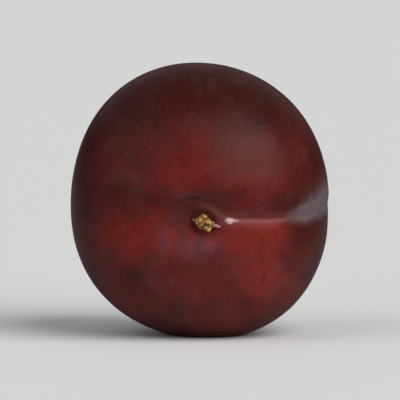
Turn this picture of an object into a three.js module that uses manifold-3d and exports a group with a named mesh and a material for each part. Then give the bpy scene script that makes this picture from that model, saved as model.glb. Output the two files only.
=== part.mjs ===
// A dessert plum as picked, at rest on one cheek: the fruit, grown in one piece with its stem cavity, suture and
// blossom end, and the short woody stub of its stem that stays in the cavity.
// Millimetres, +Z up. The origin is under the middle of the fruit, at the level of the surface that its small flat
// spot rests on. The stem end looks along -Y, a little down and towards +X, and the suture runs from there along +X.
import * as THREE from "three";
import { mergeVertices } from "three/addons/utils/BufferGeometryUtils.js";
import Module from "manifold-3d";

// The fruit's own frame has its origin between the stem end and the blossom end. There w points to the stem end,
// u to the suture and v to one cheek. t is the polar angle from w, and phi the angle round w from the suture.
const MEAN_RADIUS = 26.3; // of the section across the stem axis
const HALF_HEIGHT = 24.0; // along the stem axis, before the stem cavity is sunk
const SQUARENESS = 2.12; // exponent of the meridian: 2 is an ellipse, and more gives broader shoulders
const STEM_END_WIDER = 0.03; // share by which the stem end is wider than the middle, and the blossom end narrower
const CHEEK_SHARE = 0.031; // share by which the cheeks stand out past the mean section
const CORNER_SHARE = 0.012; // share by which the section is fuller between the cheeks, the suture and the back
const CHEEK_TURN = THREE.MathUtils.degToRad(-7); // how far the cheeks are turned out of square with the suture
const CAVITY = { depth: 3.7, spread: 4.8 };
const APEX_DIMPLE = { depth: 0.8, spread: 4.5 };
const APEX_NIB = { height: 0.5, spread: 0.8 };

// The suture is a narrow crease in a wide shallow valley, and one of its lips stands a little higher.
const SUTURE = { stem: 1.3, middle: 0.35, apex: 0.6, crease: 1.1, valley: 5.4, creaseShare: 0.4, lip: 0.15 };
const SUTURE_STARTS = [1.2, 5.0]; // distance from the stem axis over which the suture comes in
const SUTURE_TO_STEM = [0.45, 0.95]; // cosine of t over which it deepens towards the stem
const SUTURE_TO_APEX = [0.6, 0.97]; // cosine of the angle from the blossom end over which it deepens towards there
const SUTURE_BEND = { height: 0.65, middle: 7.5, spread: 4 }; // how it bends towards +v, at a distance from the axis

// Slow swellings that no two plums share: [height, u, v and w waves across the fruit, phase].
const SWELLINGS = [
  [0.38, 1.77, 1.29, 0.9, 0.6],
  [0.38, -1.45, 1.29, -1.3, -0.7],
  [0.1, 2.4, -2.0, 3.1, 4.0],
];

// How the fruit lies, in degrees, and where its own origin stands above the surface.
const STEM_TURN = 1.4; // of the stem axis, from -Y towards +X
const STEM_DROP = 6.2; // of the stem axis, below the horizontal
const SUTURE_RISE = 2.0; // of the suture, above the horizontal
const CENTRE = new THREE.Vector3(0.0, 0.0, 25.6);
const FLAT_BLEND = 0.3; // height over which the round cheek turns into the flat spot

// The stub of the stem: [radius, height above its root].
const STUB_PROFILE = [
  [0, 0],
  [1.3, 0],
  [1.4, 0.6],
  [1.3, 1.2],
  [1.12, 1.9],
  [1.1, 2.7],
  [1.25, 3.3],
  [1.5, 3.8],
  [1.4, 4.1],
  [1.0, 4.1],
  [0.5, 4.0],
  [0, 4.05],
];
const STUB_ROOT = 18.2; // of the stub's root, along the stem axis
const STUB_LEAN = [0.25, 0.3]; // how far its broken end leans over, along u and v
const STUB_TORN = 0.45; // how unevenly its broken end is torn
const SOCKET_GAP = 0.35; // round the stub's root
const SOCKET_MOUTH = 3; // how far the socket is cut past the cavity's floor

// The broken end bulges sideways in lobes and ends in teeth. Each line gives how many there are round the stub, their
// share of the tearing, and where one of them stands, in degrees from u to v.
const STUB_LOBES = [
  [2, 0.3, 130],
  [3, 0.17, -50],
  [5, 0.1, 20],
];
const STUB_TEETH = [
  [2, 1, -28],
  [5, 0.6, 5],
];

const SEGMENTS = 84;
const RINGS = 46;
const STUB_SEGMENTS = 20;
const CROWDING = { rings: 0.4, segments: 0.55 }; // how much closer they lie at the ends and at the suture

const smoothstep = THREE.MathUtils.smoothstep;

// The distance from the stem axis and the height along it, for a polar angle t.
function meridian(t) {
  const towardsStem = t < Math.PI / 2;
  const round = (Math.sin(t) ** SQUARENESS + Math.abs(Math.cos(t)) ** SQUARENESS) ** (1 / SQUARENESS);
  const radius = (MEAN_RADIUS * (1 + STEM_END_WIDER * Math.cos(t)) * Math.sin(t)) / round;
  const bell = (spread) => Math.exp(-((radius / spread) ** 2));
  const sunk = towardsStem
    ? CAVITY.depth * bell(CAVITY.spread)
    : APEX_NIB.height * bell(APEX_NIB.spread) - APEX_DIMPLE.depth * bell(APEX_DIMPLE.spread);
  return new THREE.Vector2(radius, (HALF_HEIGHT * Math.cos(t)) / round - sunk);
}

// How far the section reaches at phi, as a share of its mean radius.
function section(phi) {
  const even = phi - CHEEK_TURN;
  return 1 - CHEEK_SHARE * Math.cos(2 * even) - CORNER_SHARE * Math.cos(4 * even);
}

// How far the suture lowers the skin, at a distance across from it, a radius from the stem axis and a cosine of t.
function sutureDepth(across, radius, cosT) {
  const depth =
    SUTURE.middle +
    (SUTURE.stem - SUTURE.middle) * smoothstep(cosT, ...SUTURE_TO_STEM) +
    (SUTURE.apex - SUTURE.middle) * smoothstep(-cosT, ...SUTURE_TO_APEX);
  const crease = SUTURE.creaseShare * Math.exp(-((across / SUTURE.crease) ** 2));
  const valley = (1 - SUTURE.creaseShare) * Math.exp(-((across / SUTURE.valley) ** 2));
  const lip = SUTURE.lip * Math.tanh(across / SUTURE.crease) * Math.exp(-((across / SUTURE.valley) ** 2));
  return (depth * (crease + valley) - lip) * smoothstep(radius, ...SUTURE_STARTS);
}

function swelling(way) {
  return SWELLINGS.reduce(
    (sum, [height, u, v, w, phase]) => sum + height * Math.sin(u * way.x + v * way.y + w * way.z + phase),
    0,
  );
}

// The fruit's own frame, as it lies on the surface.
function attitude() {
  const [turn, drop, rise] = [STEM_TURN, STEM_DROP, SUTURE_RISE].map(THREE.MathUtils.degToRad);
  const stem = new THREE.Vector3(Math.sin(turn) * Math.cos(drop), -Math.cos(turn) * Math.cos(drop), -Math.sin(drop));
  const suture = new THREE.Vector3(Math.cos(turn), Math.sin(turn), 0).applyAxisAngle(stem, rise);
  const cheek = new THREE.Vector3().crossVectors(stem, suture);
  return new THREE.Matrix4().makeBasis(suture, cheek, stem).setPosition(CENTRE);
}

// A height above the surface, with what would sink below it pressed flat.
function pressed(z) {
  if (z > FLAT_BLEND) return z;
  return z < -FLAT_BLEND ? 0 : (z + FLAT_BLEND) ** 2 / (4 * FLAT_BLEND);
}

// The fruit: the meridian turned round the stem axis, then shaped by its section, suture and swellings, and laid down.
function fruitSkin() {
  const profile = [];
  for (let ring = RINGS; ring >= 0; ring--) {
    const share = ring / RINGS;
    const t = Math.PI * share - (CROWDING.rings / 2) * Math.sin(2 * Math.PI * share);
    profile.push(meridian(t));
  }
  profile[0].x = 0;
  profile[RINGS].x = 0;
  const skin = new THREE.LatheGeometry(profile, SEGMENTS);
  const places = skin.getAttribute("position");
  const lies = attitude();
  for (let i = 0; i < places.count; i++) {
    const radius = Math.hypot(places.getX(i), places.getZ(i));
    const height = places.getY(i);
    const even = Math.atan2(-places.getX(i), -places.getZ(i));
    const phi = even - CROWDING.segments * Math.sin(even);
    const reach = radius * section(phi);
    const point = new THREE.Vector3(reach * Math.cos(phi), reach * Math.sin(phi), height);
    const way = point.clone().normalize();
    const cosT = way.z;
    const bend = SUTURE_BEND.height * Math.exp(-(((reach - SUTURE_BEND.middle) / SUTURE_BEND.spread) ** 2));
    const across = 2 * reach * Math.tan(phi / 2) - bend;
    point.addScaledVector(way, swelling(way) - sutureDepth(across, reach, cosT));
    point.applyMatrix4(lies);
    places.setXYZ(i, point.x, point.y, pressed(point.z));
  }
  return skin;
}

// The sum of some waves round the stub, at an angle from u to v.
function waves(places, round) {
  return places.reduce(
    (sum, [count, share, turn]) => sum + share * Math.cos(count * (round - THREE.MathUtils.degToRad(turn))),
    0,
  );
}

// The stub, its root at the origin and +Y along the stem: leaning over and torn more and more towards its end.
function stubShape(profile, torn) {
  const stub = new THREE.LatheGeometry(
    profile.map(([radius, height]) => new THREE.Vector2(radius, height)),
    STUB_SEGMENTS,
  );
  const places = stub.getAttribute("position");
  const top = Math.max(...profile.map(([, height]) => height));
  for (let i = 0; i < places.count; i++) {
    const [x, y, z] = [places.getX(i), places.getY(i), places.getZ(i)];
    const round = Math.atan2(-z, x);
    const rise = y / top;
    const spread = 1 + torn * rise * waves(STUB_LOBES, round);
    const ragged = torn * rise ** 3 * waves(STUB_TEETH, round);
    const lean = rise ** 2 * (torn > 0 ? 1 : 0);
    const outer = smoothstep(Math.hypot(x, z), 0, 1);
    const u = x * spread + lean * STUB_LEAN[0];
    const v = -z * spread + lean * STUB_LEAN[1];
    places.setXYZ(i, u, y + ragged * outer, -v);
  }
  return stub;
}

// Turns a shape made round +Y into the fruit's own frame, with its root at a height along the stem axis.
function alongStem(shape, height) {
  return shape.rotateX(Math.PI / 2).translate(0, 0, height);
}

const wasm = await Module();
wasm.setup();

function solid(geometry) {
  const bare = geometry.clone();
  bare.deleteAttribute("normal");
  bare.deleteAttribute("uv");
  const merged = mergeVertices(bare, 1e-4);
  return new wasm.Manifold(
    new wasm.Mesh({
      numProp: 3,
      vertProperties: merged.getAttribute("position").array,
      triVerts: new Uint32Array(merged.index.array),
    }),
  );
}

function geometryOf(shape) {
  const mesh = shape.getMesh();
  return new THREE.BufferGeometry()
    .setAttribute("position", new THREE.BufferAttribute(mesh.vertProperties, 3))
    .setIndex(new THREE.BufferAttribute(mesh.triVerts, 1));
}

// The plain hole in the cavity's floor that the stub stands in.
function socket() {
  const radius = Math.max(...STUB_PROFILE.map(([r]) => r)) + SOCKET_GAP;
  const mouth = HALF_HEIGHT - CAVITY.depth + SOCKET_MOUTH;
  const hole = [
    [0, 0],
    [radius, 0],
    [radius, mouth - STUB_ROOT + SOCKET_GAP],
    [0, mouth - STUB_ROOT + SOCKET_GAP],
  ];
  return alongStem(stubShape(hole, 0), STUB_ROOT - SOCKET_GAP).applyMatrix4(attitude());
}

const plum = new THREE.Group();

const fruit = new THREE.Mesh(
  geometryOf(solid(fruitSkin()).subtract(solid(socket()))),
  new THREE.MeshStandardMaterial({ color: 0x5e1c1c, roughness: 0.42, metalness: 0 }),
);
fruit.geometry.computeVertexNormals();
fruit.name = "fruit";
plum.add(fruit);

const stem = new THREE.Group();
stem.applyMatrix4(attitude());
const stub = new THREE.Mesh(
  alongStem(stubShape(STUB_PROFILE, STUB_TORN), STUB_ROOT),
  new THREE.MeshStandardMaterial({ color: 0x9a6f36, roughness: 0.85, metalness: 0 }),
);
stub.name = "stem_stub";
stem.add(stub);
plum.add(stem);

export default plum;
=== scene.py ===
import math

import bpy
from mathutils import Matrix, Vector


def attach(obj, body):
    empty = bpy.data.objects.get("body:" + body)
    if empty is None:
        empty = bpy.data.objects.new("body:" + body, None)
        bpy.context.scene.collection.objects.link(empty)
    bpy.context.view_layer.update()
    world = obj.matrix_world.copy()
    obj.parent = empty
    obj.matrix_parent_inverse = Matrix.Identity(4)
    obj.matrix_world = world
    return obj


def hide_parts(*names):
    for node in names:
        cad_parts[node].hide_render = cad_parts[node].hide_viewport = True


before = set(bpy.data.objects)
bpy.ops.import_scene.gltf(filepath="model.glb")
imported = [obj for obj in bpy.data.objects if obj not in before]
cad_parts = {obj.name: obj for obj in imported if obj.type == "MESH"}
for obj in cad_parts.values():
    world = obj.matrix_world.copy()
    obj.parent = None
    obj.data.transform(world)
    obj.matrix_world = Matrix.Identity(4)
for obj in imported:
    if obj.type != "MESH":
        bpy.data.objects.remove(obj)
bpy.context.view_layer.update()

MM = 0.001
TURN = 2 * math.pi

# The plum's own axes are u to the suture, v to the upper cheek and w to the stem. All its sizes are in
# millimetres and its places in its own axes, until it is laid down.
STEM_TURN = math.radians(1.4)  # of the stem axis, from -Y towards +X
STEM_DROP = math.radians(6.2)  # of the stem axis, below the horizontal
SUTURE_RISE = math.radians(2.0)  # of the suture, above the horizontal
CHEEK_TURN = math.radians(-7.0)  # how far the cheeks are turned out of square with the suture
MIDDLE = Vector((0.0, 0.0, 25.6))  # of the plum, over the spot that it rests on

SKIN_SEGMENTS = 320
SKIN_RINGS = 240
SKIN_SEAM = 1e-6  # metres within which the edges of its grid meet
SKIN_SIZES = {
    "Mean radius": 26.3,
    "Half height": 24.0,
    "Squareness": 2.12,
    "Stem end wider": 0.03,
    "Cheeks stand out": 0.031,
    "Corners stand out": 0.012,
    "Cavity depth": 3.7,
    "Cavity spread": 4.8,
    "Apex dimple depth": 0.8,
    "Apex dimple spread": 4.5,
    "Apex nib height": 0.5,
    "Apex nib spread": 0.8,
    "Suture depth at the stem": 1.3,
    "Suture depth in the middle": 0.35,
    "Suture depth at the apex": 0.6,
    "Crease half width": 1.1,
    "Valley half width": 5.4,
    "Crease share": 0.4,
    "Higher lip": 0.15,
    "Flat spot blend": 0.3,
    "Dent height": 0.1,
    "Pucker height": 0.1,
    "Fold height": 0.25,
    "Fold groove": 0.18,
    "Pit depth": 0.6,
    "Bead height": 0.4,
}
PIT_MIDDLE = (0.1, 0.35)  # of the pit round the stub, u and v
PIT_EDGE = (1.7, 2.9)  # distance from its middle over which the pit rises to the cavity
CAVITY_RELIEF = (0.2, 0.6)  # cosine of the angle from the stem over which the cavity's own relief comes in
DENTS = {"scale": 0.16, "detail": 1.0}
DENTS_START = (1.0, 6.0)  # distance from the stem axis over which the dents come in
PUCKERS = {"round": 2.6, "down": 0.12, "gain": 4.0, "middle": 3.4, "spread": 2.2}
SUTURE_BEND = {"height": 0.65, "middle": 7.5, "spread": 4.0}  # how the suture bends towards +v near the stem
# The split bead of skin where the suture starts: u, v, half length along u and v, strength of each lobe.
# Its pale colour is a painted highlight as well as torn flesh.
BEAD = (
    (5.1, 0.45, 0.95, 0.7, 1.0),
    (6.8, 0.45, 0.8, 0.5, 0.5),
)
SUTURE_STARTS = (1.2, 5.0)  # distance from the stem axis over which the suture comes in
SUTURE_TO_STEM = (0.45, 0.95)  # cosine of the angle from the stem over which it deepens towards the stem
SUTURE_TO_APEX = (0.6, 0.97)  # cosine of the angle from the blossom end over which it deepens towards there
CROWDING = {"rings": 0.4, "segments": 0.55}  # how much closer they lie at the ends and at the suture

# The upper rim of the stem cavity hangs over in a fold, which comes down along +u and runs into the suture.
# Its line stands at level + rise * bell(u - middle, spread) along v, with a lip above it.
FOLD = {"level": 0.55, "rise": 4.85, "middle": -2.3, "spread": 5.6}
FOLD_LIP = {"above": 1.5, "spread": 1.7}
FOLD_GROOVE_SPREAD = 0.5
FOLD_STARTS = (-8.0, -3.0)
FOLD_ENDS = (2.0, 9.0)

# Slow swellings that no two plums share: height, how fast the wave runs along u, v and w, phase.
SWELLINGS = (
    (0.38, 1.77, 1.29, 0.9, 0.6),
    (0.38, -1.45, 1.29, -1.3, -0.7),
    (0.1, 2.4, -2.0, 3.1, 4.0),
)


# ---- Arithmetic in node trees ----


class Number:
    """A number that a node tree works out. Arithmetic on it adds Math nodes to its tree."""

    def __init__(self, socket):
        self.socket = socket
        self.tree = socket.id_data

    def __add__(self, other):
        return work("ADD", self, other)

    def __radd__(self, other):
        return work("ADD", other, self)

    def __sub__(self, other):
        return work("SUBTRACT", self, other)

    def __rsub__(self, other):
        return work("SUBTRACT", other, self)

    def __mul__(self, other):
        return work("MULTIPLY", self, other)

    def __rmul__(self, other):
        return work("MULTIPLY", other, self)

    def __truediv__(self, other):
        return work("DIVIDE", self, other)

    def __rtruediv__(self, other):
        return work("DIVIDE", other, self)

    def __pow__(self, other):
        return work("POWER", self, other)

    def __neg__(self):
        return work("MULTIPLY", self, -1.0)


def feed(slot, value):
    """Links a socket or a Number to a slot, or sets the slot to a plain value."""
    if isinstance(value, Number):
        value = value.socket
    if isinstance(value, bpy.types.NodeSocket):
        slot.id_data.links.new(value, slot)
    else:
        slot.default_value = value


def add_node(tree, kind, inputs=None, **settings):
    """Adds a node with its settings, and feeds its inputs by name or by place."""
    node = tree.nodes.new(kind)
    for name, value in settings.items():
        setattr(node, name, value)
    for name, value in (inputs or {}).items():
        feed(node.inputs[name], value)
    return node


def work(operation, *values):
    tree = next(value.tree for value in values if isinstance(value, Number))
    node = add_node(tree, "ShaderNodeMath", dict(enumerate(values)), operation=operation)
    return Number(node.outputs[0])


def square(x):
    return work("MULTIPLY", x, x)


def bell(x, spread):
    """1 where x is 0, about a third at the spread and next to nothing at twice the spread."""
    return work("EXPONENT", -square(x / spread))


def smooth(x, low, high):
    """From 0 at low to 1 at high, with soft ends."""
    inputs = {"Value": x, "From Min": low, "From Max": high}
    node = add_node(x.tree, "ShaderNodeMapRange", inputs, interpolation_type="SMOOTHSTEP")
    return Number(node.outputs["Result"])


def blend(share, at_0, at_1):
    return at_0 + share * (at_1 - at_0)


def clipped(x):
    return work("MINIMUM", work("MAXIMUM", x, 0.0), 1.0)


def split(socket):
    node = add_node(socket.id_data, "ShaderNodeSeparateXYZ", {0: socket})
    return [Number(output) for output in node.outputs]


def join(tree, x, y, z):
    return add_node(tree, "ShaderNodeCombineXYZ", {"X": x, "Y": y, "Z": z}).outputs[0]


def noise(tree, where, scale=1.0, detail=2.0, roughness=0.5, distortion=0.0):
    """Smooth noise about 0.5, at a place. The scale is how many waves it has for each unit of length."""
    inputs = {"Scale": scale, "Detail": detail, "Roughness": roughness, "Distortion": distortion}
    return Number(add_node(tree, "ShaderNodeTexNoise", {"Vector": where, **inputs}).outputs[0])


def stretched(tree, place, waves):
    """A place to read noise at, with its own number of waves for each unit of length along each axis."""
    return join(tree, *(part * count for part, count in zip(place, waves)))


def total(numbers):
    first, *others = numbers
    return sum(others, first)


# ---- The plum's own axes ----


def attitude():
    """The turn from the plum's own axes to how it lies."""
    stem = Vector(
        (
            math.sin(STEM_TURN) * math.cos(STEM_DROP),
            -math.cos(STEM_TURN) * math.cos(STEM_DROP),
            -math.sin(STEM_DROP),
        )
    )
    suture = Matrix.Rotation(SUTURE_RISE, 3, stem) @ Vector((math.cos(STEM_TURN), math.sin(STEM_TURN), 0.0))
    cheek = stem.cross(suture)
    return Matrix((suture, cheek, stem)).transposed()


LIES = attitude()


def away_from_stem_axis(u, v):
    return work("SQRT", square(u) + square(v))


def across_suture(phi, reach):
    """The distance across from the suture, which grows without end towards the opposite side."""
    bend = SUTURE_BEND["height"] * bell(reach - SUTURE_BEND["middle"], SUTURE_BEND["spread"])
    return 2.0 * reach * work("TANGENT", phi / 2.0) - bend


def spots(places, u, v):
    """How much of some soft oval spots there is at u and v."""
    return total(
        strength * bell(u - middle_u, long) * bell(v - middle_v, high)
        for middle_u, middle_v, long, high, strength in places
    )


def round_stem_axis(tree, phi, radius, along):
    """A place to read noise at, on a circle, so that it closes round the stem axis. A wide one is finer."""
    return join(tree, work("COSINE", phi) * radius, work("SINE", phi) * radius, along)


# ---- Geometry Nodes trees ----


def new_geometry_tree(name, sizes):
    """A Geometry Nodes tree with one named input for each size, and its inputs as Numbers."""
    tree = bpy.data.node_groups.new(name, "GeometryNodeTree")
    tree.interface.new_socket("Geometry", in_out="INPUT", socket_type="NodeSocketGeometry")
    for size in sizes:
        tree.interface.new_socket(size, in_out="INPUT", socket_type="NodeSocketFloat")
    tree.interface.new_socket("Geometry", in_out="OUTPUT", socket_type="NodeSocketGeometry")
    given = add_node(tree, "NodeGroupInput")
    return tree, given.outputs["Geometry"], {size: Number(given.outputs[size]) for size in sizes}


def finish_tree(tree, geometry, material):
    real = add_node(tree, "GeometryNodeRealizeInstances", {"Geometry": geometry})
    painted = add_node(tree, "GeometryNodeSetMaterial", {"Geometry": real.outputs[0], "Material": material})
    out = add_node(tree, "NodeGroupOutput")
    feed(out.inputs["Geometry"], painted.outputs[0])


def grown_piece(name, start_mesh, tree, sizes, material):
    """The plain mesh that a tree grows from a start mesh, as an object at the origin."""
    seedling = bpy.data.objects.new(name + "_seedling", start_mesh)
    bpy.context.scene.collection.objects.link(seedling)
    modifier = seedling.modifiers.new("grow", "NODES")
    modifier.node_group = tree
    for item in tree.interface.items_tree:
        if item.in_out == "INPUT" and item.name in sizes:
            modifier[item.identifier] = float(sizes[item.name])
    evaluated = seedling.evaluated_get(bpy.context.evaluated_depsgraph_get())
    mesh = bpy.data.meshes.new_from_object(evaluated)
    mesh.name = name
    mesh.materials.clear()
    mesh.materials.append(material)
    bpy.data.objects.remove(seedling)
    piece = bpy.data.objects.new(name, mesh)
    bpy.context.scene.collection.objects.link(piece)
    return piece


# ---- The skin's shape ----


def skin_meridian(size, t):
    """The distance from the stem axis and the height along it, for a polar angle t from the stem."""
    sin_t = work("SINE", t)
    cos_t = work("COSINE", t)
    power = size["Squareness"]
    corner = (sin_t**power + work("ABSOLUTE", cos_t) ** power) ** (1.0 / power)
    radius = size["Mean radius"] * (1.0 + size["Stem end wider"] * cos_t) * sin_t / corner
    cavity = size["Cavity depth"] * bell(radius, size["Cavity spread"])
    nib = size["Apex nib height"] * bell(radius, size["Apex nib spread"])
    dimple = size["Apex dimple depth"] * bell(radius, size["Apex dimple spread"])
    sunk = blend(work("GREATER_THAN", cos_t, 0.0), nib - dimple, cavity)
    return radius, size["Half height"] * cos_t / corner - sunk


def skin_section(size, phi):
    """How far the section reaches at phi, as a share of its mean radius."""
    even = phi - CHEEK_TURN
    cheeks = size["Cheeks stand out"] * work("COSINE", 2.0 * even)
    corners = size["Corners stand out"] * work("COSINE", 4.0 * even)
    return 1.0 - cheeks - corners


def suture_depth(size, across, reach, rise):
    """How far the suture lowers the skin. The rise is 1 towards the stem and -1 towards the blossom end."""
    middle = size["Suture depth in the middle"]
    at_stem = (size["Suture depth at the stem"] - middle) * smooth(rise, *SUTURE_TO_STEM)
    at_apex = (size["Suture depth at the apex"] - middle) * smooth(-rise, *SUTURE_TO_APEX)
    wide = bell(across, size["Valley half width"])
    crease = size["Crease share"] * bell(across, size["Crease half width"])
    valley = (1.0 - size["Crease share"]) * wide
    lip = size["Higher lip"] * work("TANH", across / size["Crease half width"]) * wide
    return ((middle + at_stem + at_apex) * (crease + valley) - lip) * smooth(reach, *SUTURE_STARTS)


def swelling(way):
    """How far the swellings raise the skin, in a direction from the plum's middle."""
    return total(
        height * work("SINE", u * way[0] + v * way[1] + w * way[2] + phase)
        for height, u, v, w, phase in SWELLINGS
    )


def skin_relief(tree, size, place, reach, phi, rise):
    """Shallow dents all over. Near the stem, fine puckers that run down into the cavity, the fold over it,
    the pit in it and the bead where the suture starts."""
    u, v, _ = place
    dents = (noise(tree, join(tree, *place), **DENTS) - 0.5) * size["Dent height"]
    pucker_waves = round_stem_axis(tree, phi, PUCKERS["round"], reach * PUCKERS["down"])
    puckers = (noise(tree, pucker_waves) - 0.5) * size["Pucker height"] * PUCKERS["gain"]
    puckered = bell(reach - PUCKERS["middle"], PUCKERS["spread"]) * smooth(reach, 0.0, 1.0)
    from_pit = away_from_stem_axis(u - PIT_MIDDLE[0], v - PIT_MIDDLE[1])
    pit = size["Pit depth"] * (1.0 - smooth(from_pit, *PIT_EDGE))
    bead = size["Bead height"] * spots(BEAD, u, v)
    in_cavity = puckers * puckered + cavity_fold(size, u, v) + bead - pit
    return dents * smooth(reach, *DENTS_START) + in_cavity * smooth(rise, *CAVITY_RELIEF)


def above_fold(u, v):
    """The distance above the fold's line, and how much of the fold there is at u."""
    line = FOLD["level"] + FOLD["rise"] * bell(u - FOLD["middle"], FOLD["spread"])
    return v - line, smooth(u, *FOLD_STARTS) * (1.0 - smooth(u, *FOLD_ENDS))


def cavity_fold(size, u, v):
    """How far the fold raises the skin: up along its lip, and down along its line."""
    above, present = above_fold(u, v)
    lip = size["Fold height"] * bell(above - FOLD_LIP["above"], FOLD_LIP["spread"])
    groove = size["Fold groove"] * bell(above, FOLD_GROOVE_SPREAD)
    return (lip - groove) * present


def pressed_flat(tree, size, geometry):
    """Presses the skin's underside flat where it rests, with a soft edge, and brings it to metres."""
    x, y, z = split(add_node(tree, "GeometryNodeInputPosition").outputs[0])
    soft = size["Flat spot blend"]
    edge = square(work("MAXIMUM", z + soft, 0.0)) / (4.0 * soft)
    pressed = blend(work("GREATER_THAN", z, soft), edge, z)
    inputs = {"Geometry": geometry, "Position": join(tree, x * MM, y * MM, pressed * MM)}
    return add_node(tree, "GeometryNodeSetPosition", inputs).outputs[0]


def plum_skin_tree(material):
    tree, _, size = new_geometry_tree("plum skin", SKIN_SIZES)
    counts = {"Size X": 1.0, "Size Y": 1.0, "Vertices X": SKIN_SEGMENTS + 1, "Vertices Y": SKIN_RINGS + 1}
    grid = add_node(tree, "GeometryNodeMeshGrid", counts)
    # The grid is 1 wide. Its x goes once round the stem axis, and its y from the blossom end to the stem.
    x, y, _ = split(add_node(tree, "GeometryNodeInputPosition").outputs[0])
    phi = TURN * x - CROWDING["segments"] * work("SINE", TURN * x)
    from_stem = 0.5 - y
    t = math.pi * from_stem - CROWDING["rings"] / 2 * work("SINE", TURN * from_stem)
    radius, height = skin_meridian(size, t)
    reach = radius * skin_section(size, phi)
    place = (reach * work("COSINE", phi), reach * work("SINE", phi), height)
    length = work("SQRT", total(square(part) for part in place))
    way = [part / length for part in place]
    outwards = (
        swelling(way)
        - suture_depth(size, across_suture(phi, reach), reach, way[2])
        + skin_relief(tree, size, place, reach, phi, way[2])
    )
    grown = join(tree, *(part + direction * outwards for part, direction in zip(place, way)))
    shaped = add_node(tree, "GeometryNodeSetPosition", {"Geometry": grid.outputs[0], "Position": grown})
    laid = add_node(tree, "GeometryNodeTransform", {"Geometry": shaped.outputs[0], "Translation": MIDDLE})
    laid.inputs["Rotation"].default_value = LIES.to_euler()
    pressed = pressed_flat(tree, size, laid.outputs[0])
    closed = add_node(tree, "GeometryNodeMergeByDistance", {"Geometry": pressed, "Distance": SKIN_SEAM})
    smoothed = add_node(tree, "GeometryNodeSetShadeSmooth", {"Geometry": closed.outputs[0]})
    finish_tree(tree, smoothed.outputs[0], material)
    return tree


# ---- Materials ----


def new_material(name):
    material = bpy.data.materials.new(name)
    material.use_nodes = True
    tree = material.node_tree
    shader = tree.nodes["Principled BSDF"]
    return material, tree, shader


def own_place(tree):
    """A shaded point's place in the plum's own axes, in millimetres."""
    back = LIES.transposed()
    coordinates = add_node(tree, "ShaderNodeTexCoord").outputs["Object"]
    mapping = add_node(tree, "ShaderNodeMapping", {"Vector": coordinates}, vector_type="POINT")
    mapping.inputs["Scale"].default_value = (1 / MM, 1 / MM, 1 / MM)
    mapping.inputs["Rotation"].default_value = back.to_euler()
    mapping.inputs["Location"].default_value = -(back @ MIDDLE)
    return mapping.outputs[0]


def mix_colours(tree, share, first, second):
    node = add_node(tree, "ShaderNodeMix", data_type="RGBA")
    colours = [socket for socket in node.inputs if socket.type == "RGBA"]
    feed(node.inputs[0], share)
    for slot, colour in zip(colours, (first, second)):
        feed(slot, (*colour, 1.0) if isinstance(colour, tuple) else colour)
    return next(socket for socket in node.outputs if socket.type == "RGBA")


# The colours of the skin.
PAINTED_SHADE_WINE = (0.032, 0.0045, 0.004)
WINE = (0.050, 0.0055, 0.006)
RED = (0.115, 0.007, 0.006)
BRIGHT_RED = (0.205, 0.017, 0.011)
PINK = (0.34, 0.11, 0.12)
FLESH_AND_GLINT = (0.75, 0.52, 0.48)
BROWN = (0.075, 0.018, 0.014)
BLOOM = (0.185, 0.150, 0.165)
MAUVE = (0.17, 0.065, 0.105)
DUSKY_PINK = (0.25, 0.08, 0.07)
FLECK = (0.36, 0.13, 0.08)
CORK = (0.19, 0.065, 0.035)
PALE_SCAR = (0.22, 0.11, 0.05)
DARK_SCAR = (0.045, 0.02, 0.012)

# Where the skin is redder, partly in its own colour: u, v, half length along u and v, strength. All face the
# stem side.
# Some of these spots are painted light, as marked below.
RED_SPOTS_AND_PAINTED_LIGHT = (
    (-1.0, 10.0, 6.5, 3.2, 0.55),
    (-1.5, 17.0, 6.5, 5.0, 0.5),
    (-13.5, -2.6, 6.5, 4.6, 1.2),
    # Painted light on the lit lower lip of the suture, below its line, in this spot and the next.
    (10.0, -2.6, 6.0, 2.6, 1.6),
    (5.6, -2.4, 3.4, 1.8, 1.3),
    (11.0, -11.0, 5.5, 7.0, 1.3),
    (-1.5, -11.5, 6.0, 4.5, 0.5),
    # Painted light in the pit's shadow below the stub.
    (-1.0, -0.8, 2.0, 1.6, 0.9),
    (18.5, 11.0, 3.5, 6.0, 0.3),
    # A painted warm haze under the highlight.
    (9.5, 8.0, 5.0, 4.5, 0.5),
    (-7.0, -3.0, 1.8, 3.0, 0.6),
)
# Where a dull pink or purple film lies in the stem cavity, and one painted highlight: u, v, half length
# along u and v, strength.
FILMS_AND_LIP_HIGHLIGHT = (
    (0.5, -3.8, 2.6, 1.6, 1.0),
    (-3.6, -5.0, 2.4, 2.0, 0.7),
    (-4.4, 1.8, 2.0, 2.8, 0.3),
    (-7.4, -2.6, 1.2, 2.6, 0.8),
    # A painted highlight on the lip of the fold over the cavity.
    (-2.2, 6.1, 1.9, 0.7, 0.8),
    (9.5, 2.3, 4.0, 0.9, 0.5),
)
# The wedge of thick bloom at the suture's end: where it starts, which way it runs, how wide it is there and
# how fast it widens, the length over which it grows thick, and the heights along the stem axis over which it
# fades towards the back.
BLOOM_WEDGE = {
    "u": 13.9,
    "v": -0.6,
    "turn": math.radians(11.0),
    "starts": 0.3,
    "widens": 0.38,
    "grows": 6.0,
    "fades": (-16.0, 3.0),
}
# What is left of it in the suture: how wide, from how far off the stem axis, how much of it on the stem side
# and how much more at the back.
BLOOM_IN_SUTURE = {"spread": 2.0, "starts": (9.0, 18.0), "share": 0.3, "more at the back": 0.4}
WISP_WAVES = (0.14, 0.6, 0.14)  # for each millimetre outwards, across the suture and along the stem axis
# How much thin bloom there is in each of the other places.
THIN_BLOOM = {"rubbed": 0.10, "scratched": 0.06, "lower cheek": 0.09, "cavity": 0.04, "back": 0.3}
CORK_PATCH = {"u": 0.4, "v": 1.1, "spread": 1.8}  # the brown cork round the stub
SCAR_RING = {"reach": 0.75, "spread": 0.3}  # the pale ring of the scar at the blossom end
SCAR_MIDDLE = (0.4, 0.7)  # distance from the stem axis over which its dark middle ends

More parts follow.
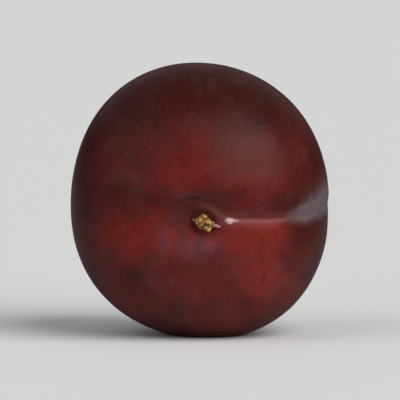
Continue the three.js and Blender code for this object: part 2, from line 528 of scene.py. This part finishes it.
# Where each part of the skin comes in: how far from the plum's middle, along w, v or u.
STEM_SIDE = (-4.0, 6.0)
STEM_END = (8.0, 12.0)
BLOSSOM_END = (8.0, 12.0)
UPPER_CHEEK = (10.0, 24.0)
LOWER_CHEEK = (2.0, 12.0)
SIDES = (15.0, 24.0)
# Painted light under the fold, and painted shade along its line.
PAINTED_LIGHT_UNDER_FOLD = {"above": -0.8, "spread": 1.4, "starts": (-2.0, 2.5), "ends": (4.0, 8.0)}
PAINTED_SHADE_ALONG_FOLD = {"spread": 0.35, "ends": (-1.0, 2.5)}
LINE_OF_SUTURE = {"across": -0.25, "spread": 0.45, "starts": (2.2, 6.0), "ends": (14.0, 18.0)}
SOFT_SIDE_OF_LINE = {"across": 0.8, "spread": 0.8, "share": 0.14}
THREAD_WAVES = (0.9, 6.0, 2.0)  # for each millimetre along u, v and w
IN_CAVITY = {"middle": 4.5, "spread": 3.0, "starts": (5.0, 12.0)}

# The noises that the skin's colours share, in waves for each millimetre.
CLOUDS = {"scale": 0.09, "detail": 4.0, "roughness": 0.55, "distortion": 0.4}
MOTTLE = {"scale": 0.5, "detail": 5.0, "roughness": 0.6}
RUBS = {"scale": 0.17, "detail": 6.0, "roughness": 0.6}
WARP = {"scale": 0.22, "detail": 3.0}
# Streaks and scratches run along the stem axis. Each has the radius of the circle that its noise is read on,
# and its waves for each millimetre along the axis.
STREAKS = {"radius": 6.0, "along": 0.1}
SCRATCHES = {"radius": 16.0, "along": 0.22}
SCRATCHES_START = (6.0, 12.0)  # distance from the stem axis
# Pale flecks, one in each cell. Their sizes are shares of a cell, and a high rarity leaves few large ones.
FLECKS = {"cells for each millimetre": 1.2, "smallest": 0.05, "larger by": 0.19, "rarity": 2.5}


class SkinPoint:
    """A shaded point of the skin: where it lies in the plum's own axes, and the noises there."""

    def __init__(self, tree):
        self.tree = tree
        self.place = own_place(tree)
        self.u, self.v, self.w = split(self.place)
        self.reach = away_from_stem_axis(self.u, self.v)
        self.phi = work("ARCTAN2", self.v, self.u)
        self.across = across_suture(self.phi, self.reach)
        self.stem_side = smooth(self.w, *STEM_SIDE)
        self.back = 1.0 - self.stem_side
        self.stem_end = smooth(self.w, *STEM_END)
        self.in_cavity = bell(self.reach - IN_CAVITY["middle"], IN_CAVITY["spread"])
        self.in_cavity = self.in_cavity * smooth(self.w, *IN_CAVITY["starts"])
        streaks_at = round_stem_axis(tree, self.phi, STREAKS["radius"], self.w * STREAKS["along"])
        self.streaks = noise(tree, streaks_at, detail=4.0, roughness=0.6)
        self.clouds = noise(tree, self.place, **CLOUDS)
        self.mottle = noise(tree, self.place, **MOTTLE)
        self.rubbed = noise(tree, self.place, **RUBS)
        self.warp = noise(tree, self.place, **WARP) - 0.5

    def warped(self, along_u, along_v):
        """The point's u and v, moved a little by the warp, so that what is laid there has an uneven edge."""
        return self.u + self.warp * along_u, self.v + self.warp * along_v


def ground_colour(at):
    """Wine red to brown, redder in streaks and in spots that are partly its own colour and partly painted
    light, and darker on the upper cheek and the sides with painted shade.
    """
    tree = at.tree
    colour = mix_colours(tree, smooth(at.clouds, 0.35, 0.65), WINE, BROWN)
    redness = at.streaks * 0.5 + at.mottle * 0.5 + 0.6 * (at.clouds - 0.5)
    colour = mix_colours(tree, smooth(redness, 0.38, 0.66) * 0.8, colour, RED)
    # Painted shade: the upper cheek and the sides are darkened in colour.
    upper_cheek = smooth(at.v, *UPPER_CHEEK)
    sides = smooth(work("ABSOLUTE", at.u), *SIDES)
    colour = mix_colours(tree, work("MAXIMUM", upper_cheek * 0.85, sides * 0.7), colour, PAINTED_SHADE_WINE)
    # The red spots and painted light fade where the painted shade lies.
    outside_painted_shade = (1.0 - 0.7 * upper_cheek) * (1.0 - 0.6 * sides)
    # Red spots on the stem side, partly the skin's own colour and partly painted light; random red clouds at
    # the back.
    red_and_painted_light = outside_painted_shade * spots(RED_SPOTS_AND_PAINTED_LIGHT, *at.warped(9.0, 7.0)) * at.stem_side
    red_and_painted_light = red_and_painted_light + at.back * smooth(at.clouds + 0.4 * (at.streaks - 0.5), 0.5, 0.75) * 0.9
    red_and_painted_light = clipped(red_and_painted_light * blend(at.mottle, 0.3, 1.6))
    colour = mix_colours(tree, red_and_painted_light * 0.85, colour, BRIGHT_RED)
    return mix_colours(tree, smooth(at.mottle, 0.46, 0.72) * 0.5, colour, WINE)


def fleck_share(at):
    """Small pale flecks of many sizes, most of them tiny."""
    inputs = {"Vector": at.place, "Scale": FLECKS["cells for each millimetre"], "Randomness": 1.0}
    cells = add_node(at.tree, "ShaderNodeTexVoronoi", inputs)
    chance = split(cells.outputs["Color"])[0]
    fleck_size = FLECKS["smallest"] + FLECKS["larger by"] * chance ** FLECKS["rarity"]
    return 1.0 - smooth(Number(cells.outputs["Distance"]) / fleck_size, 0.5, 1.2)


def bloom_wedge(u, v):
    """How much bloom there is in the wedge that starts on the suture and widens towards the back."""
    along_u = math.cos(BLOOM_WEDGE["turn"])
    along_v = math.sin(BLOOM_WEDGE["turn"])
    along = (u - BLOOM_WEDGE["u"]) * along_u + (v - BLOOM_WEDGE["v"]) * along_v
    off = (v - BLOOM_WEDGE["v"]) * along_u - (u - BLOOM_WEDGE["u"]) * along_v
    spread = BLOOM_WEDGE["starts"] + BLOOM_WEDGE["widens"] * work("MAXIMUM", along, 0.0)
    return bell(off, spread) * smooth(along, 0.0, BLOOM_WEDGE["grows"])


def thin_bloom(at):
    """A thin film: in rubbed and scratched places, low down, in the cavity and in patches at the back."""
    scratches_at = round_stem_axis(at.tree, at.phi, SCRATCHES["radius"], at.w * SCRATCHES["along"])
    scratches = noise(at.tree, scratches_at, detail=3.0, roughness=0.6, distortion=0.5)
    handled = smooth(at.rubbed, 0.4, 0.6) * smooth(at.reach, *SCRATCHES_START)
    shares = {
        "rubbed": smooth(at.rubbed, 0.5, 0.7),
        "scratched": smooth(scratches, 0.52, 0.72) * handled,
        "lower cheek": smooth(-at.v, *LOWER_CHEEK) * at.stem_side,
        "cavity": at.in_cavity,
        "back": at.back * smooth(at.clouds * 0.6 + at.rubbed * 0.4, 0.42, 0.62),
    }
    return total(THIN_BLOOM[where] * share for where, share in shares.items())


def thick_bloom(at):
    """The wedge and what is left along the suture, worn off in wisps that run along it."""
    tree = at.tree
    wedge = bloom_wedge(*at.warped(2.0, 2.5)) * smooth(at.w, *BLOOM_WEDGE["fades"])
    in_suture = bell(at.across, BLOOM_IN_SUTURE["spread"]) * smooth(at.reach, *BLOOM_IN_SUTURE["starts"])
    left_there = BLOOM_IN_SUTURE["share"] + BLOOM_IN_SUTURE["more at the back"] * at.back
    thick = wedge + in_suture * left_there
    wisps_at = stretched(tree, (at.reach, at.across, at.w), WISP_WAVES)
    wisps = noise(tree, wisps_at, detail=6.0, roughness=0.65, distortion=0.3)
    powder = noise(tree, at.place, scale=3.5, detail=3.0, roughness=0.7)
    patchy = noise(tree, at.place, scale=0.6, detail=5.0, roughness=0.6, distortion=0.5)
    worn = 1.2 * (wisps - 0.5) + 1.2 * (at.rubbed - 0.5) + 0.25 * (powder - 0.5)
    return thick * smooth(thick + worn, 0.0, 1.15) * blend(smooth(patchy, 0.32, 0.62), 0.65, 1.2)


def cavity_colour(at, colour):
    """Dull films in the stem cavity, one of them a painted highlight on the fold's lip, a paler band of
    painted light under the right half of its fold and a dark line of painted shade along the left half."""
    tree = at.tree
    dull = smooth(at.rubbed * 0.5 + at.mottle * 0.5, 0.3, 0.6)
    # One of the films is a painted highlight on the fold's lip.
    film_and_highlight = spots(FILMS_AND_LIP_HIGHLIGHT, *at.warped(2.5, 2.5)) * at.stem_side * dull
    colour = mix_colours(tree, clipped(film_and_highlight) * 0.42, colour, MAUVE)
    above, present = above_fold(at.u, at.v)
    # Painted light on the lit inner slope of the cavity under the fold.
    painted_light_band = bell(above - PAINTED_LIGHT_UNDER_FOLD["above"], PAINTED_LIGHT_UNDER_FOLD["spread"])
    painted_light_band = painted_light_band * smooth(at.u, *PAINTED_LIGHT_UNDER_FOLD["starts"]) * (1.0 - smooth(at.u, *PAINTED_LIGHT_UNDER_FOLD["ends"]))
    colour = mix_colours(tree, painted_light_band * at.stem_end * 0.65, colour, DUSKY_PINK)
    # Painted shade: a dark line under the fold's lip.
    line = bell(above, PAINTED_SHADE_ALONG_FOLD["spread"]) * present * (1.0 - smooth(at.u, *PAINTED_SHADE_ALONG_FOLD["ends"]))
    return mix_colours(tree, line * at.stem_end * 0.4, colour, PAINTED_SHADE_WINE)


def suture_colour(at, colour):
    """The thin pale skin along the suture, softer on its upper side, and the split bead where it starts,
    pale as torn flesh and as a painted highlight.
    """
    tree = at.tree
    line = bell(at.across - LINE_OF_SUTURE["across"], LINE_OF_SUTURE["spread"]) * blend(at.mottle, 0.2, 1.0)
    soft_side = bell(at.across - SOFT_SIDE_OF_LINE["across"], SOFT_SIDE_OF_LINE["spread"])
    line = line + soft_side * SOFT_SIDE_OF_LINE["share"]
    line = line * smooth(at.u, *LINE_OF_SUTURE["starts"]) * (1.0 - smooth(at.u, *LINE_OF_SUTURE["ends"]))
    colour = mix_colours(tree, line * at.stem_side, colour, PINK)
    ragged = noise(tree, at.place, scale=1.4) - 0.5
    lobes = spots(BEAD, at.u + ragged * 0.8, at.v + ragged * 0.5) * at.stem_end
    threads = noise(tree, stretched(tree, (at.u, at.v, at.w), THREAD_WAVES), detail=3.0) - 0.5
    # Pale flesh on the bead, which is also a painted highlight there.
    flesh_and_glint = mix_colours(tree, smooth(lobes + 0.9 * threads, 0.4, 0.8), PINK, FLESH_AND_GLINT)
    return mix_colours(tree, smooth(lobes, 0.3, 0.5), colour, flesh_and_glint)


def scar_colour(at, colour):
    """Brown cork round the stub, and the ringed scar at the blossom end."""
    tree = at.tree
    from_cork = away_from_stem_axis(at.u - CORK_PATCH["u"], at.v - CORK_PATCH["v"])
    cork = bell(from_cork, CORK_PATCH["spread"]) * at.stem_end * blend(at.mottle, 0.3, 1.0)
    colour = mix_colours(tree, clipped(cork), colour, CORK)
    from_scar = at.reach + 0.25 * (at.mottle - 0.5)
    blossom_end = smooth(-at.w, *BLOSSOM_END)
    ring = bell(from_scar - SCAR_RING["reach"], SCAR_RING["spread"])
    colour = mix_colours(tree, ring * blossom_end * 0.7, colour, PALE_SCAR)
    return mix_colours(tree, (1.0 - smooth(from_scar, *SCAR_MIDDLE)) * blossom_end, colour, DARK_SCAR)


def add_bump(tree, shader, height):
    """Low relief, in millimetres, that the shader alone shows."""
    bump = add_node(tree, "ShaderNodeBump", {"Height": height * MM, "Distance": 1.0, "Strength": 1.0})
    feed(shader.inputs["Normal"], bump.outputs[0])


def skin_material():
    material, tree, shader = new_material("plum skin")
    at = SkinPoint(tree)
    flecks = fleck_share(at)
    bloom = clipped(thin_bloom(at) + thick_bloom(at))
    colour = mix_colours(tree, flecks * blend(at.mottle, 0.1, 0.5), ground_colour(at), FLECK)
    colour = mix_colours(tree, bloom * 0.55, colour, BLOOM)
    for laid_on in (cavity_colour, suture_colour, scar_colour):
        colour = laid_on(at, colour)
    feed(shader.inputs["Base Color"], colour)
    feed(shader.inputs["Roughness"], 0.33 + 0.08 * at.mottle + 0.3 * bloom + 0.25 * at.in_cavity)
    shader.inputs["IOR"].default_value = 1.36
    shader.inputs["Specular IOR Level"].default_value = 0.2
    shader.inputs["Subsurface Weight"].default_value = 0.12
    shader.inputs["Subsurface Radius"].default_value = (1.0, 0.25, 0.12)
    shader.inputs["Subsurface Scale"].default_value = 1.2 * MM
    fine = noise(tree, at.place, scale=2.4, detail=3.0, roughness=0.6)
    add_bump(tree, shader, 0.004 * fine + 0.02 * at.mottle + 0.01 * flecks)
    return material


# ---- The stub of the stem ----

# The stub's outline: distance from its axis, height above its root.
STUB_PROFILE = (
    (0.0, 0.0),
    (1.3, 0.0),
    (1.4, 0.6),
    (1.3, 1.2),
    (1.12, 1.9),
    (1.1, 2.7),
    (1.25, 3.3),
    (1.5, 3.8),
    (1.4, 4.1),
    (1.0, 4.1),
    (0.5, 4.0),
    (0.0, 4.05),
)
STUB_ROOT = 18.2  # height of the stub's root along the stem axis
STUB_LEAN = (0.25, 0.3)  # of its end, along u and v
STUB_TORN = 0.45  # how strongly its end is torn
# The broken end bulges sideways in lobes and ends in teeth. Each line gives how many there are round the
# stub, their share of the tearing, and where one of them stands, in degrees from u to v.
STUB_LOBES = (
    (2, 0.3, 130.0),
    (3, 0.17, -50.0),
    (5, 0.1, 20.0),
)
STUB_TEETH = (
    (2, 1.0, -28.0),
    (5, 0.6, 5.0),
)
STUB_SEGMENTS = 144
STUB_STEPS = 12  # between two points of the profile
# Strips torn off the stub: root, tip, half width and how far each bows up.
SPLINTERS = (
    ((0.7, 0.1, 21.1), (3.4, -0.6, 22.0), 0.62, 0.3),
    ((0.8, -0.5, 21.0), (2.75, -0.3, 21.5), 0.45, 0.1),
    ((0.9, 0.4, 21.0), (2.3, 0.15, 21.7), 0.4, 0.0),
    ((-0.6, 0.5, 21.0), (-2.0, 0.75, 21.0), 0.6, 0.1),
    ((0.5, -0.5, 21.2), (1.25, -1.45, 22.0), 0.35, 0.1),
    ((0.0, 0.7, 21.4), (-0.15, 1.9, 22.2), 0.45, 0.0),
)
SPLINTER_STEPS = 24
SPLINTER_SIDES = 16
SPLINTER_FLATNESS = 0.4  # thickness as a share of width
SPLINTER_NARROWS = 0.45  # how much of its width it loses on the way to its tip
SPLINTER_BLUNTNESS = 0.25  # the lower, the blunter the tip
EDGE_WAVES = {"height": 0.12, "along": 7.0, "shift": 20.0}  # of a splinter

CORE_EDGE = (1.5, 2.1)  # distance from the stem axis past which there are only splinters
BUNDLES_BREAK = (2.8, 3.8)  # heights above the root between which the bundles start to differ in height
# Ridges along the stub and shreds across it: waves for each millimetre along u, v and w, and how strong they
# are on the splinters and on the core.
RIDGES = {"waves": (2.6, 2.6, 0.35), "strength": (1.2, 2.0)}
SHREDS = {"waves": (3.0, 7.0, 4.0), "strength": (5.0, 2.0)}
FIBRES_FROM = 3.2  # height above the root
FIBRE_SHAPE = {"Vertices": 6, "Side Segments": 3, "Radius Top": 0.3, "Radius Bottom": 1.0, "Depth": 1.0}
FIBRE_LEAN = 0.45  # radians, at most
SHORTEST_FIBRE = 0.25  # of the longest
FIBRE_SEEDS = {"roots": 7, "lean": 3, "length": 5}
STUB_SEAM = 1e-4  # millimetres within which its start mesh closes
STUB_SIZES = {
    "Ridge height": 0.22,
    "Bundles for each millimetre": 1.9,
    "Bundle steps": 0.9,
    "Shreds": 0.07,
    "Fibre length": 0.75,
    "Fibre radius": 0.035,
    "Fibres for each square millimetre": 5.0,
}


def smooth_profile(points, steps):
    """A curve through the points, with that many steps between each two."""
    ends = [points[0], *points, points[-1]]
    curve = []
    for around_step in zip(ends, ends[1:], ends[2:], ends[3:]):
        for step in range(steps):
            s = step / steps
            weights = (
                -0.5 * s + s**2 - 0.5 * s**3,
                1 - 2.5 * s**2 + 1.5 * s**3,
                0.5 * s + 2 * s**2 - 1.5 * s**3,
                -0.5 * s**2 + 0.5 * s**3,
            )
            curve.append([sum(k * point[i] for k, point in zip(weights, around_step)) for i in (0, 1)])
    return [*curve, list(points[-1])]


def waves_round(places, around):
    """The sum of some waves round the stub, at an angle from u to v."""
    return sum(share * math.cos(count * (around - math.radians(turn))) for count, share, turn in places)


def stub_core():
    """The stub without its splinters and fibres: torn more and more towards its end."""
    top = max(height for _, height in STUB_PROFILE)
    rings = []
    for radius, height in smooth_profile(STUB_PROFILE, STUB_STEPS):
        radius = max(radius, 0.0)
        rise = height / top
        off_axis = min(radius, 1.0)
        outer = off_axis**2 * (3 - 2 * off_axis)  # 0 on the axis, and 1 from a millimetre out
        ring = []
        for segment in range(STUB_SEGMENTS):
            around = TURN * segment / STUB_SEGMENTS
            spread = 1 + STUB_TORN * rise * waves_round(STUB_LOBES, around)
            ragged = STUB_TORN * rise**3 * waves_round(STUB_TEETH, around)
            u = radius * spread * math.cos(around) + rise**2 * STUB_LEAN[0]
            v = radius * spread * math.sin(around) + rise**2 * STUB_LEAN[1]
            ring.append(Vector((u, v, STUB_ROOT + height + ragged * outer)))
        rings.append(ring)
    return rings


def splinter(root, tip, half_width, bow):
    """A flat strip torn off the stub, from its root to its blunt tip, bowed towards the stem's end."""
    root, tip = Vector(root), Vector(tip)
    stem_way = Vector((0.0, 0.0, 1.0))
    along = (tip - root).normalized()
    side = along.cross(stem_way).normalized()
    up = along.cross(side)
    rings = []
    for step in range(SPLINTER_STEPS + 1):
        s = step / SPLINTER_STEPS
        middle = root.lerp(tip, s) + stem_way * bow * math.sin(math.pi * s)
        uneven = EDGE_WAVES["height"] * math.sin(EDGE_WAVES["along"] * s + EDGE_WAVES["shift"] * half_width)
        radius = half_width * (1 - s) ** SPLINTER_BLUNTNESS * (1 - SPLINTER_NARROWS * s + uneven)
        ring = []
        for corner in range(SPLINTER_SIDES):
            turn = TURN * corner / SPLINTER_SIDES
            ring.append(middle + radius * (side * math.cos(turn) + SPLINTER_FLATNESS * up * math.sin(turn)))
        rings.append(ring)
    return rings


def stub_mesh():
    """The stub with its splinters, in the plum's own axes, in millimetres."""
    vertices = []
    faces = []
    for rings in [stub_core()] + [splinter(*each) for each in SPLINTERS]:
        start = len(vertices)
        sides = len(rings[0])
        vertices += [corner for ring in rings for corner in ring]
        for ring in range(len(rings) - 1):
            for segment in range(sides):
                here = start + ring * sides
                beside = (segment + 1) % sides
                faces.append((here + segment, here + beside, here + sides + beside, here + sides + segment))
        # A face closes a splinter at its root. Its tip and the core's two ends come to a point.
        if sides == SPLINTER_SIDES:
            faces.append(tuple(start + segment for segment in reversed(range(sides))))
    mesh = bpy.data.meshes.new("stub_start")
    mesh.from_pydata(vertices, [], faces)
    return mesh


def fibre_bundles(tree, u, v, scale):
    """A number from 0 to 1 for each bundle of fibres, which run along the stem."""
    inputs = {"Vector": join(tree, u, v, 0.0), "Scale": scale, "Smoothness": 0.12}
    cells = add_node(tree, "ShaderNodeTexVoronoi", inputs, feature="SMOOTH_F1")
    return split(cells.outputs["Color"])[0]


def torn_surface(tree, size, closed):
    """The stub with ridges and shreds all over, and with bundles of fibres broken at different heights. Also
    where its broken end is."""
    u, v, w = split(add_node(tree, "GeometryNodeInputPosition").outputs[0])
    normal = add_node(tree, "GeometryNodeInputNormal").outputs[0]
    in_core = 1.0 - smooth(away_from_stem_axis(u, v), *CORE_EDGE)
    ridges = noise(tree, stretched(tree, (u, v, w), RIDGES["waves"]), detail=3.0) - 0.5
    shreds = noise(tree, stretched(tree, (u, v, w), SHREDS["waves"]), detail=3.0) - 0.5
    rough = ridges * size["Ridge height"] * blend(in_core, *RIDGES["strength"])
    rough = rough + shreds * size["Shreds"] * blend(in_core, *SHREDS["strength"])
    ridged = add_node(tree, "ShaderNodeVectorMath", {0: normal, "Scale": rough}, operation="SCALE")
    steps = (fibre_bundles(tree, u, v, size["Bundles for each millimetre"]) - 0.5) * size["Bundle steps"]
    at_end = smooth(w, *(STUB_ROOT + height for height in BUNDLES_BREAK))
    broken = join(tree, 0.0, 0.0, steps * in_core * at_end)
    moved = add_node(tree, "ShaderNodeVectorMath", {0: ridged.outputs[0], 1: broken}, operation="ADD")
    inputs = {"Geometry": closed, "Offset": moved.outputs[0]}
    torn = add_node(tree, "GeometryNodeSetPosition", inputs).outputs[0]
    return torn, work("GREATER_THAN", w, STUB_ROOT + FIBRES_FROM) * work("GREATER_THAN", in_core, 0.5)


def loose_fibres(tree, size, torn, on_end):
    """Fine fibres that stand up from the stub's torn end."""
    density = size["Fibres for each square millimetre"]
    inputs = {"Mesh": torn, "Selection": on_end, "Density": density, "Seed": FIBRE_SEEDS["roots"]}
    roots = add_node(tree, "GeometryNodeDistributePointsOnFaces", inputs)
    fibre = add_node(tree, "GeometryNodeMeshCone", FIBRE_SHAPE)
    least = (-FIBRE_LEAN, -FIBRE_LEAN, 0.0)
    most = (FIBRE_LEAN, FIBRE_LEAN, TURN)
    inputs = {"Min": least, "Max": most, "Seed": FIBRE_SEEDS["lean"]}
    lean = add_node(tree, "FunctionNodeRandomValue", inputs, data_type="FLOAT_VECTOR")
    inputs = {2: SHORTEST_FIBRE, 3: 1.0, "Seed": FIBRE_SEEDS["length"]}
    share = Number(add_node(tree, "FunctionNodeRandomValue", inputs, data_type="FLOAT").outputs[1])
    thick = size["Fibre radius"]
    inputs = {
        "Points": roots.outputs[0],
        "Instance": fibre.outputs[0],
        "Rotation": lean.outputs[0],
        "Scale": join(tree, thick, thick, share * size["Fibre length"]),
    }
    return add_node(tree, "GeometryNodeInstanceOnPoints", inputs).outputs[0]


def stem_stub_tree(material):
    tree, start, size = new_geometry_tree("torn stem", STUB_SIZES)
    closed = add_node(tree, "GeometryNodeMergeByDistance", {"Geometry": start, "Distance": STUB_SEAM})
    torn, on_end = torn_surface(tree, size, closed.outputs[0])
    both = add_node(tree, "GeometryNodeJoinGeometry")
    for part in (torn, loose_fibres(tree, size, torn, on_end)):
        tree.links.new(part, both.inputs[0])
    inputs = {"Geometry": both.outputs[0], "Translation": MIDDLE * MM, "Scale": (MM, MM, MM)}
    laid = add_node(tree, "GeometryNodeTransform", inputs)
    laid.inputs["Rotation"].default_value = LIES.to_euler()
    smoothed = add_node(tree, "GeometryNodeSetShadeSmooth", {"Geometry": laid.outputs[0]})
    finish_tree(tree, smoothed.outputs[0], material)
    return tree


# The colours of the stub.
DARK_WOOD = (0.20, 0.10, 0.03)
OCHRE = (0.54, 0.275, 0.08)
PALE_WOOD = (0.64, 0.40, 0.16)
BARK = (0.13, 0.065, 0.035)
TORN_PINK = (0.30, 0.11, 0.085)
PALE_PINK = (0.56, 0.29, 0.24)
BARK_ENDS = (2.3, 3.8)  # heights above the stub's root
PINK_STARTS = (1.6, 2.4)  # distance along u, past the stub's core
GRAIN_WAVES = (6.0, 6.0, 0.9)  # for each millimetre along u, v and w
STRAND_WAVES = (1.2, 7.0, 4.0)


def stem_material():
    """Bundles of ochre and pale torn wood, bark lower down, and pink flesh on the long splinters."""
    material, tree, shader = new_material("stem wood")
    place = own_place(tree)
    u, v, w = split(place)
    grain = noise(tree, stretched(tree, (u, v, w), GRAIN_WAVES), detail=5.0, roughness=0.65)
    patches = noise(tree, place, scale=0.8, detail=3.0)
    bundles = fibre_bundles(tree, u, v, STUB_SIZES["Bundles for each millimetre"])
    colour = mix_colours(tree, smooth(grain, 0.32, 0.68), DARK_WOOD, OCHRE)
    colour = mix_colours(tree, smooth(bundles + 0.5 * (patches - 0.5), 0.45, 0.85) * 0.75, colour, PALE_WOOD)
    on_end = smooth(w + 0.8 * (grain - 0.5), *(STUB_ROOT + height for height in BARK_ENDS))
    colour = mix_colours(tree, (1.0 - on_end) * 0.8, colour, BARK)
    strands = noise(tree, stretched(tree, (u, v, w), STRAND_WAVES), detail=4.0, roughness=0.65)
    strip = mix_colours(tree, smooth(strands, 0.3, 0.55), TORN_PINK, PALE_PINK)
    colour = mix_colours(tree, smooth(u + 1.2 * (grain - 0.5), *PINK_STARTS), colour, strip)
    feed(shader.inputs["Base Color"], colour)
    feed(shader.inputs["Roughness"], 0.72 + 0.2 * grain)
    add_bump(tree, shader, grain * 0.08)
    return material


# ---- The pieces ----

skin_finish = skin_material()
skin_start = bpy.data.meshes.new("start")
skin = grown_piece("plum_skin", skin_start, plum_skin_tree(skin_finish), SKIN_SIZES, skin_finish)
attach(skin, "root")
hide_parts("fruit")

stem_finish = stem_material()
stub = grown_piece("torn_stem_stub", stub_mesh(), stem_stub_tree(stem_finish), STUB_SIZES, stem_finish)
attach(stub, "root")
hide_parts("stem_stub")


# ---- Floor, light and camera ----

FLOOR_TONE = (0.92, 0.915, 0.91)
MIRRORED_FLOOR_TONE = (0.3, 0.3, 0.3)
FLOOR_REACH = 40.0
# How bright the air is level with the plum, overhead, and where it is seen past the floor's edge.
AIR = {"level": 0.06, "overhead": 0.13, "seen": 0.69}
# The lamps: azimuth, elevation and breadth in degrees, strength. Azimuth 0 is on the camera's side of the
# plum and 90 is at the right, and the breadth is how wide a part of the sky the light comes from.
LAMPS = {
    "key": (48.0, 36.0, 58.0, 2.45),
    "fill": (-56.0, 28.0, 70.0, 0.85),
    "back": (185.0, 60.0, 100.0, 0.25),
}
CAMERA_DISTANCE = 1.3
CAMERA_RISE = math.radians(4.5)
CAMERA_AIM = Vector((0.0, 0.0, 0.0262))
CAMERA_LENS = {"lens": 600.0, "sensor_width": 36.0, "clip_start": 0.01, "clip_end": 200.0}


def pale_floor():
    mesh = bpy.data.meshes.new("floor")
    corners = [(x * FLOOR_REACH, y * FLOOR_REACH, 0.0) for x, y in ((-1, -1), (1, -1), (1, 1), (-1, 1))]
    mesh.from_pydata(corners, [], [(0, 1, 2, 3)])
    floor = bpy.data.objects.new("floor", mesh)
    bpy.context.scene.collection.objects.link(floor)
    material, tree, shader = new_material("pale floor")
    # The plum mirrors a darker floor than the one in view, which keeps its edges deep in colour.
    mirrored = add_node(tree, "ShaderNodeLightPath").outputs["Is Glossy Ray"]
    feed(shader.inputs["Base Color"], mix_colours(tree, mirrored, FLOOR_TONE, MIRRORED_FLOOR_TONE))
    shader.inputs["Roughness"].default_value = 0.7
    shader.inputs["Specular IOR Level"].default_value = 0.2
    mesh.materials.append(material)


def studio_air():
    """Dim soft light from all round, a little brighter overhead. Past the floor's edge its tone goes on."""
    world = bpy.data.worlds.new("studio air")
    world.use_nodes = True
    bpy.context.scene.world = world
    tree = world.node_tree
    _, _, up = split(add_node(tree, "ShaderNodeTexCoord").outputs["Generated"])
    lit = blend(smooth(up, 0.0, 1.0), AIR["level"], AIR["overhead"])
    in_view = Number(add_node(tree, "ShaderNodeLightPath").outputs["Is Camera Ray"])
    background = tree.nodes["Background"]
    feed(background.inputs["Strength"], blend(in_view, lit, AIR["seen"]))
    background.inputs["Color"].default_value = (1.0, 1.0, 1.0, 1.0)


def soft_lamp(name, azimuth, elevation, breadth, strength):
    """Even light from far away."""
    light = bpy.data.lights.new(name, "SUN")
    light.angle = math.radians(breadth)
    light.energy = strength
    lamp = bpy.data.objects.new(name, light)
    turn, rise = math.radians(azimuth), math.radians(elevation)
    way = Vector((math.sin(turn) * math.cos(rise), -math.cos(turn) * math.cos(rise), math.sin(rise)))
    lamp.rotation_euler = way.to_track_quat("Z", "Y").to_euler()
    bpy.context.scene.collection.objects.link(lamp)


def camera():
    view = bpy.data.cameras.new("camera")
    for setting, value in CAMERA_LENS.items():
        setattr(view, setting, value)
    eye = bpy.data.objects.new("camera", view)
    way = Vector((0.0, -math.cos(CAMERA_RISE), math.sin(CAMERA_RISE)))
    eye.location = CAMERA_AIM + CAMERA_DISTANCE * way
    eye.rotation_euler = (CAMERA_AIM - eye.location).to_track_quat("-Z", "Y").to_euler()
    bpy.context.scene.collection.objects.link(eye)
    bpy.context.scene.camera = eye


pale_floor()
studio_air()
for lamp_name, settings in LAMPS.items():
    soft_lamp(lamp_name, *settings)
camera()
bpy.context.scene.view_settings.view_transform = "Standard"
